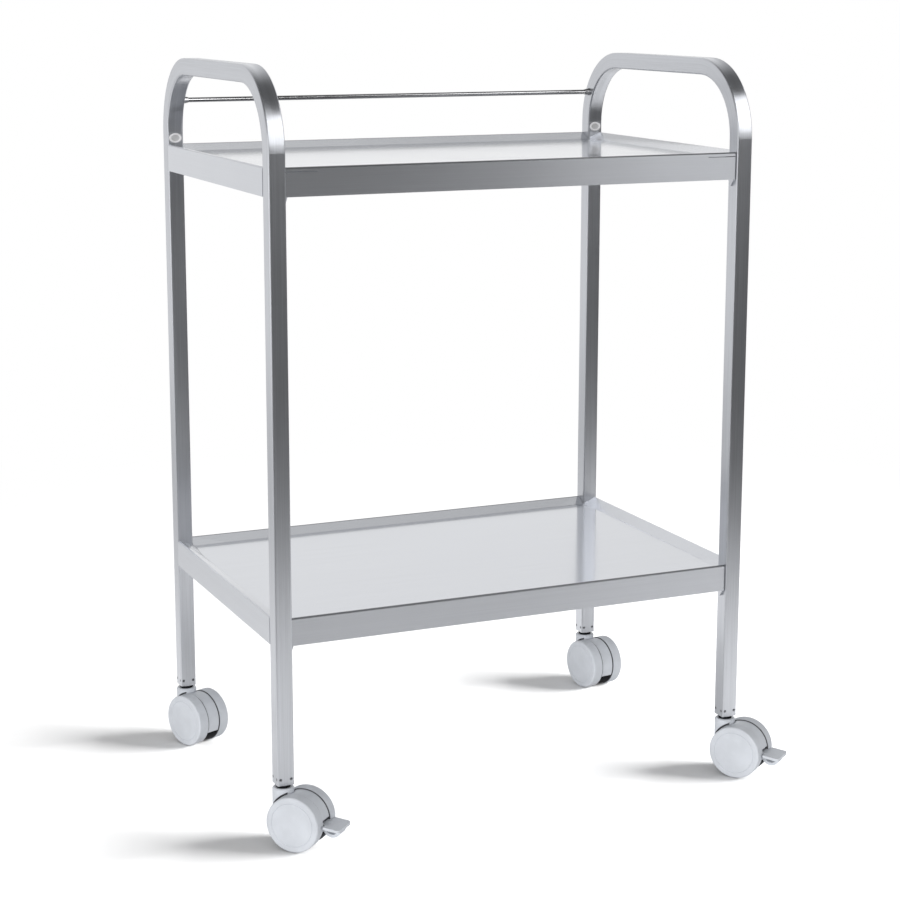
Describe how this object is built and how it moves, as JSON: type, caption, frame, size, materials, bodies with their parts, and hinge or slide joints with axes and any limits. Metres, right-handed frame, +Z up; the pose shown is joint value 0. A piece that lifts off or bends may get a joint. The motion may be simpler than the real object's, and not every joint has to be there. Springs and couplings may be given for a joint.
{
  "type": "instrument cart",
  "caption": "Stainless instrument cart: bent square-tube end frames with handles, sunken sheet trays, a rear guard rod and swivelling twin-wheel castors, the front ones with brake pedals.",
  "frame": {"origin": "on the floor, under the middle of the parked cart's footprint", "axes": "+Z up, +X along the length towards the right end, -Y towards the braked front side"},
  "size_m": [0.6634, 0.4681, 0.875],
  "materials": {
    "frame_tube": "satin stainless tube",
    "tray_sheet": "satin stainless sheet, bright floor",
    "polished": "polished steel",
    "axle_steel": "bright drawn steel",
    "castor_plastic": "light grey moulded plastic",
    "tyre_rubber": "soft grey tread",
    "black_plastic": "black moulded plastic"
  },
  "bodies": {
    "cart": {"left_end_frame": "frame_tube", "right_end_frame": "frame_tube", "top_tray": "tray_sheet", "lower_tray": "tray_sheet", "top_tray_lugs": "frame_tube", "lower_tray_lugs": "frame_tube", "leg_plugs": "polished", "guard_rod": "polished", "guard_rod_ferrules": "black_plastic", "front_left_socket": "black_plastic", "front_left_stem": "polished", "front_right_socket": "black_plastic", "front_right_stem": "polished", "rear_left_socket": "black_plastic", "rear_left_stem": "polished", "rear_right_socket": "black_plastic", "rear_right_stem": "polished"},
    "front_left_castor": {"front_left_washer": "black_plastic", "front_left_hood": "castor_plastic", "front_left_core": "black_plastic", "front_left_axle": "axle_steel", "front_left_pedal_pin": "axle_steel"},
    "front_left_roller_l": {"front_left_wheel_l": "castor_plastic", "front_left_tyre_l": "tyre_rubber"},
    "front_left_roller_r": {"front_left_wheel_r": "castor_plastic", "front_left_tyre_r": "tyre_rubber"},
    "front_left_brake": {"front_left_pedal": "castor_plastic"},
    "front_right_castor": {"front_right_washer": "black_plastic", "front_right_hood": "castor_plastic", "front_right_core": "black_plastic", "front_right_axle": "axle_steel", "front_right_pedal_pin": "axle_steel"},
    "front_right_roller_l": {"front_right_wheel_l": "castor_plastic", "front_right_tyre_l": "tyre_rubber"},
    "front_right_roller_r": {"front_right_wheel_r": "castor_plastic", "front_right_tyre_r": "tyre_rubber"},
    "front_right_brake": {"front_right_pedal": "castor_plastic"},
    "rear_left_castor": {"rear_left_washer": "black_plastic", "rear_left_hood": "castor_plastic", "rear_left_core": "black_plastic", "rear_left_axle": "axle_steel"},
    "rear_left_roller_l": {"rear_left_wheel_l": "castor_plastic", "rear_left_tyre_l": "tyre_rubber"},
    "rear_left_roller_r": {"rear_left_wheel_r": "castor_plastic", "rear_left_tyre_r": "tyre_rubber"},
    "rear_right_castor": {"rear_right_washer": "black_plastic", "rear_right_hood": "castor_plastic", "rear_right_core": "black_plastic", "rear_right_axle": "axle_steel"},
    "rear_right_roller_l": {"rear_right_wheel_l": "castor_plastic", "rear_right_tyre_l": "tyre_rubber"},
    "rear_right_roller_r": {"rear_right_wheel_r": "castor_plastic", "rear_right_tyre_r": "tyre_rubber"}
  },
  "joints": [
    {"name": "front_left_swivel", "type": "hinge", "parent": "cart", "child": "front_left_castor", "pos_m": [-0.3065, -0.164, 0.072], "axis": [0, 0, 1], "continuous": true},
    {"name": "front_left_roll_l", "type": "hinge", "parent": "front_left_castor", "child": "front_left_roller_l", "pos_m": [-0.29122, -0.17983, 0.0325], "axis": [0.7193, 0.6947, 0], "continuous": true},
    {"name": "front_left_roll_r", "type": "hinge", "parent": "front_left_castor", "child": "front_left_roller_r", "pos_m": [-0.29122, -0.17983, 0.0325], "axis": [0.7193, 0.6947, 0], "continuous": true},
    {"name": "front_left_brake_press", "type": "hinge", "parent": "front_left_castor", "child": "front_left_brake", "pos_m": [-0.27803, -0.19348, 0.02198], "axis": [0.7193, 0.6947, 0], "range_deg": [0, 12]},
    {"name": "front_right_swivel", "type": "hinge", "parent": "cart", "child": "front_right_castor", "pos_m": [0.2735, -0.164, 0.072], "axis": [0, 0, 1], "continuous": true},
    {"name": "front_right_roll_l", "type": "hinge", "parent": "front_right_castor", "child": "front_right_roller_l", "pos_m": [0.28674, -0.18157, 0.0325], "axis": [0.7986, 0.6018, 0], "continuous": true},
    {"name": "front_right_roll_r", "type": "hinge", "parent": "front_right_castor", "child": "front_right_roller_r", "pos_m": [0.28674, -0.18157, 0.0325], "axis": [0.7986, 0.6018, 0], "continuous": true},
    {"name": "front_right_brake_press", "type": "hinge", "parent": "front_right_castor", "child": "front_right_brake", "pos_m": [0.29816, -0.19673, 0.02198], "axis": [0.7986, 0.6018, 0], "range_deg": [0, 12]},
    {"name": "rear_left_swivel", "type": "hinge", "parent": "cart", "child": "rear_left_castor", "pos_m": [-0.3065, 0.216, 0.072], "axis": [0, 0, 1], "continuous": true},
    {"name": "rear_left_roll_l", "type": "hinge", "parent": "rear_left_castor", "child": "rear_left_roller_l", "pos_m": [-0.2979, 0.19575, 0.0325], "axis": [0.9205, 0.3907, 0], "continuous": true},
    {"name": "rear_left_roll_r", "type": "hinge", "parent": "rear_left_castor", "child": "rear_left_roller_r", "pos_m": [-0.2979, 0.19575, 0.0325], "axis": [0.9205, 0.3907, 0], "continuous": true},
    {"name": "rear_right_swivel", "type": "hinge", "parent": "cart", "child": "rear_right_castor", "pos_m": [0.2735, 0.216, 0.072], "axis": [0, 0, 1], "continuous": true},
    {"name": "rear_right_roll_l", "type": "hinge", "parent": "rear_right_castor", "child": "rear_right_roller_l", "pos_m": [0.27732, 0.19433, 0.0325], "axis": [0.9848, 0.1736, 0], "continuous": true},
    {"name": "rear_right_roll_r", "type": "hinge", "parent": "rear_right_castor", "child": "rear_right_roller_r", "pos_m": [0.27732, 0.19433, 0.0325], "axis": [0.9848, 0.1736, 0], "continuous": true}
  ]
}
